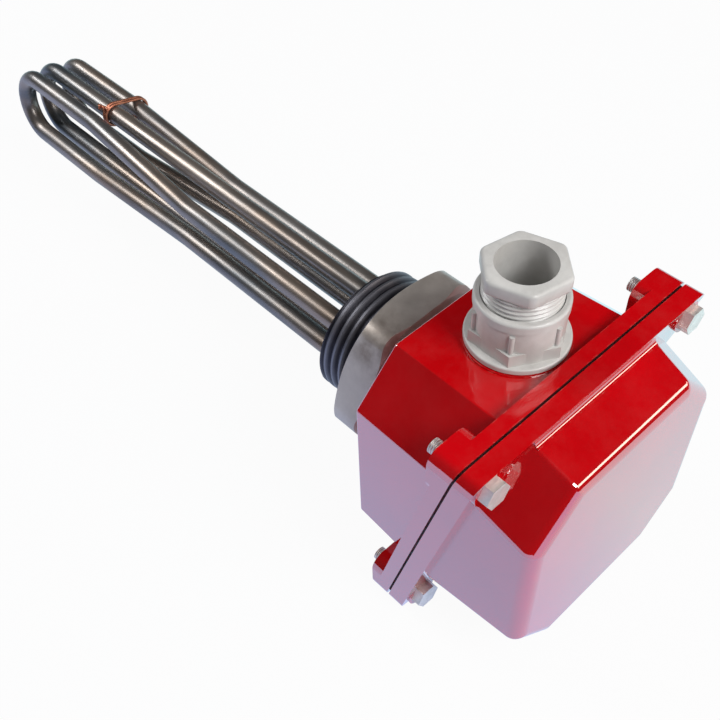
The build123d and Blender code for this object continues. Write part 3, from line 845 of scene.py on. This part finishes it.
tail_way = bundle_spot(0, -cos(TAIL_RISE), sin(TAIL_RISE))
tail_start = bundle_spot(TIE_X + TIE_WIRE_R + TIE_GAP / 2, 0, RING_R)
tail_start += tail_way * (tie_r + TIE_WIRE_R)
tail_turn = tail_way.to_track_quat("Z", "Y").to_matrix().to_4x4()
tail_frame = Matrix.Translation(tail_start) @ tail_turn
for half in (0, 180):
    deselect()
    bpy.ops.mesh.primitive_circle_add(
        vertices=TIE_STEPS,
        radius=TIE_WIRE_R,
        location=(TIE_WIRE_R, 0, 0),
        rotation=(QUARTER, 0, 0),
    )
    strand = bpy.context.object
    bpy.ops.object.transform_apply(location=True, rotation=True, scale=True)
    twist = strand.modifiers.new("twist", "SCREW")
    twist.angle = radians(360) * TAIL_L / TAIL_PITCH
    twist.screw_offset = TAIL_L
    twist.steps = twist.render_steps = TAIL_STEPS
    apply(strand, twist)
    edit(strand)
    bpy.ops.mesh.fill_holes(sides=0)
    close()
    strand.matrix_world = tail_frame @ Matrix.Rotation(radians(half), 4, "Z")
    settle(strand)
    wires.append(strand)

deselect()
for wire in wires:
    wire.select_set(True)
tie = wires[0]
bpy.context.view_layer.objects.active = tie
bpy.ops.object.join()
smooth(tie, TIE_SMOOTH)
finish_piece(tie, "copper_tie", finishes["tie_wire"], "heater")
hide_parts("tie_wire")


# Fillet between the cover's flange and its top: a square bar hollowed by a round one

lean = Vector((COVER_LEAN, 0, 1)).normalized()
out = Vector((1, 0, -COVER_LEAN)).normalized()
bar_place, round_place = (
    COVER_ROOT + (out + lean) * ROOT_R * share for share in (ROOT_BAR_SHARE, ROOT_ROUND_SHARE)
)
deselect()
bpy.ops.mesh.primitive_cube_add(
    size=1,
    location=bar_place,
    rotation=(0, atan(COVER_LEAN), 0),
    scale=(ROOT_R, 2 * ROOT_HALF_Y, ROOT_R),
)
strip = bpy.context.object
settle(strip)
hollow = cylinder(
    ROOT_R, -2 * ROOT_HALF_Y, 2 * ROOT_HALF_Y, Matrix.Rotation(QUARTER, 3, "X")
)
hollow.location = round_place
settle(hollow)
combine(strip, hollow, "DIFFERENCE")
smooth(strip, ROOT_SMOOTH)
finish_piece(strip, "cover_root_fillet", paint_finish, "heater")


# Gland nut: low hexagon with rounded corners on a threaded spigot

nut_turn = Matrix.Rotation(NUT_TURN, 3, "Z")
gland_nut = hexagon(NUT_FLATS, NUT_CORNER_R, NUT_TOP - NUT_T, NUT_TOP, nut_turn)
apply(gland_nut, round_edges(gland_nut, "rims", NUT_EDGE_R, RIM_STEPS, RIM_ANGLE))
gland_nut.location.x = GLAND_X
settle(gland_nut)
spigot_top = NUT_TOP - NUT_T / 2
spigot = wound(
    "Z", (GLAND_X, 0, 0), SPIGOT_END, spigot_top, SPIGOT_R, SPIGOT_PITCH, SPIGOT_DEPTH
)
combine(gland_nut, spigot, "UNION")
cable_way = cylinder(NUT_WAY_R, SPIGOT_END - NUT_T, NUT_TOP + NUT_T, x=GLAND_X)
combine(gland_nut, cable_way, "DIFFERENCE")
smooth(gland_nut, TURNED_SMOOTH)
finish_piece(gland_nut, "gland_top_nut", finishes["gland_nut"], "nut")
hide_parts("gland_nut")


# Floor: white to the camera apart from the object's shadow, tinted to metal and paint

deselect()
bpy.ops.mesh.primitive_plane_add(
    size=FLOOR_SIZE, location=(0, 0, cad_box[0][2] - FLOOR_GAP)
)
floor = bpy.context.object
floor.name = "floor"
floor_material = bpy.data.materials.new("pale floor")
floor_material.use_nodes = True
tree = floor_material.node_tree
surface = tree.nodes["Principled BSDF"]
surface.inputs["Base Color"].default_value = FLOOR_COLOUR
surface.inputs["Roughness"].default_value = FLOOR_ROUGHNESS
path = tree.nodes.new("ShaderNodeLightPath")
glow = node(tree, "ShaderNodeEmission", Color=(1, 1, 1, 1), Strength=1.0)
mirrored = node(tree, "ShaderNodeEmission", Strength=1.0)
spot = tree.nodes.new("ShaderNodeNewGeometry")
parts = tree.nodes.new("ShaderNodeSeparateXYZ")
across = node(tree, "ShaderNodeMapRange", From_Min=TINT_START, From_Max=TINT_END)
tint = node(tree, "ShaderNodeMix", data_type="RGBA")
tint.inputs[MIX_FIRST].default_value = TINT_START_COLOUR
tint.inputs[MIX_SECOND].default_value = TINT_END_COLOUR
seen = tree.nodes.new("ShaderNodeMixShader")
reflected = tree.nodes.new("ShaderNodeMixShader")
shown = node(tree, "ShaderNodeMath", operation="MULTIPLY")
shown.inputs[1].default_value = FLOOR_WHITE
link(
    tree,
    (spot.outputs["Position"], parts.inputs[0]),
    (parts.outputs["Y"], across.inputs["Value"]),
    (across.outputs["Result"], tint.inputs["Factor"]),
    (tint.outputs[MIX_RESULT], mirrored.inputs["Color"]),
    (path.outputs["Is Camera Ray"], shown.inputs[0]),
    (shown.outputs[0], seen.inputs[0]),
    (path.outputs["Is Glossy Ray"], reflected.inputs[0]),
    (surface.outputs[0], reflected.inputs[1]),
    (mirrored.outputs[0], reflected.inputs[2]),
    (reflected.outputs[0], seen.inputs[1]),
    (glow.outputs[0], seen.inputs[2]),
    (seen.outputs[0], tree.nodes["Material Output"].inputs["Surface"]),
)
floor.data.materials.append(floor_material)


# World: plain light on the object, dark to what mirrors it, white to the camera

world = bpy.data.worlds.new("studio")
bpy.context.scene.world = world
world.use_nodes = True
tree = world.node_tree
room = tree.nodes["Background"]
room.inputs["Color"].default_value, room.inputs["Strength"].default_value = ROOM
dark, white = (
    node(tree, "ShaderNodeBackground", Color=colour, Strength=strength)
    for colour, strength in (ROOM_MIRRORED, ROOM_SEEN)
)
path = tree.nodes.new("ShaderNodeLightPath")
by_gloss = tree.nodes.new("ShaderNodeMixShader")
by_camera = tree.nodes.new("ShaderNodeMixShader")
link(
    tree,
    (path.outputs["Is Glossy Ray"], by_gloss.inputs[0]),
    (room.outputs[0], by_gloss.inputs[1]),
    (dark.outputs[0], by_gloss.inputs[2]),
    (path.outputs["Is Camera Ray"], by_camera.inputs[0]),
    (by_gloss.outputs[0], by_camera.inputs[1]),
    (white.outputs[0], by_camera.inputs[2]),
    (by_camera.outputs[0], tree.nodes["World Output"].inputs["Surface"]),
)


# Lamps


def lamp(name, place, aim, wide, high, power, colour=(1, 1, 1)):
    """A soft rectangle of light at a place, turned to what it is aimed at."""
    data = bpy.data.lights.new(name, "AREA")
    data.shape = "RECTANGLE"
    data.size = wide
    data.size_y = high
    data.energy = power
    data.color = colour
    made = bpy.data.objects.new(name, data)
    bpy.context.scene.collection.objects.link(made)
    made.location = place
    made.rotation_euler = (Vector(aim) - Vector(place)).to_track_quat("-Z", "Y").to_euler()


lamp("overhead softbox", (1.05, 0.05, 1.0), (0, 0, 0), 0.6, 0.6, 17)
lamp("front strip", (0.88, 0.59, 0.50), (0.1, 0, 0), 0.9, 0.2, 2.2, (1, 0.84, 0.70))
lamp("back strip", (-0.95, -0.35, 0.75), (-0.1, 0, 0), 0.4, 0.4, 6)


# Camera at the photograph's viewing angle

camera_data = bpy.data.cameras.new("camera")
camera_data.sensor_width = SENSOR
camera_data.lens = LENS
camera = bpy.data.objects.new("camera", camera_data)
bpy.context.scene.collection.objects.link(camera)
turned = Matrix((CAMERA_RIGHT, -CAMERA_DOWN, -CAMERA_AHEAD)).transposed().to_4x4()
camera.matrix_world = Matrix.Translation(CAMERA_AT) @ turned
bpy.context.scene.camera = camera

bpy.context.scene.view_settings.view_transform = "Standard"
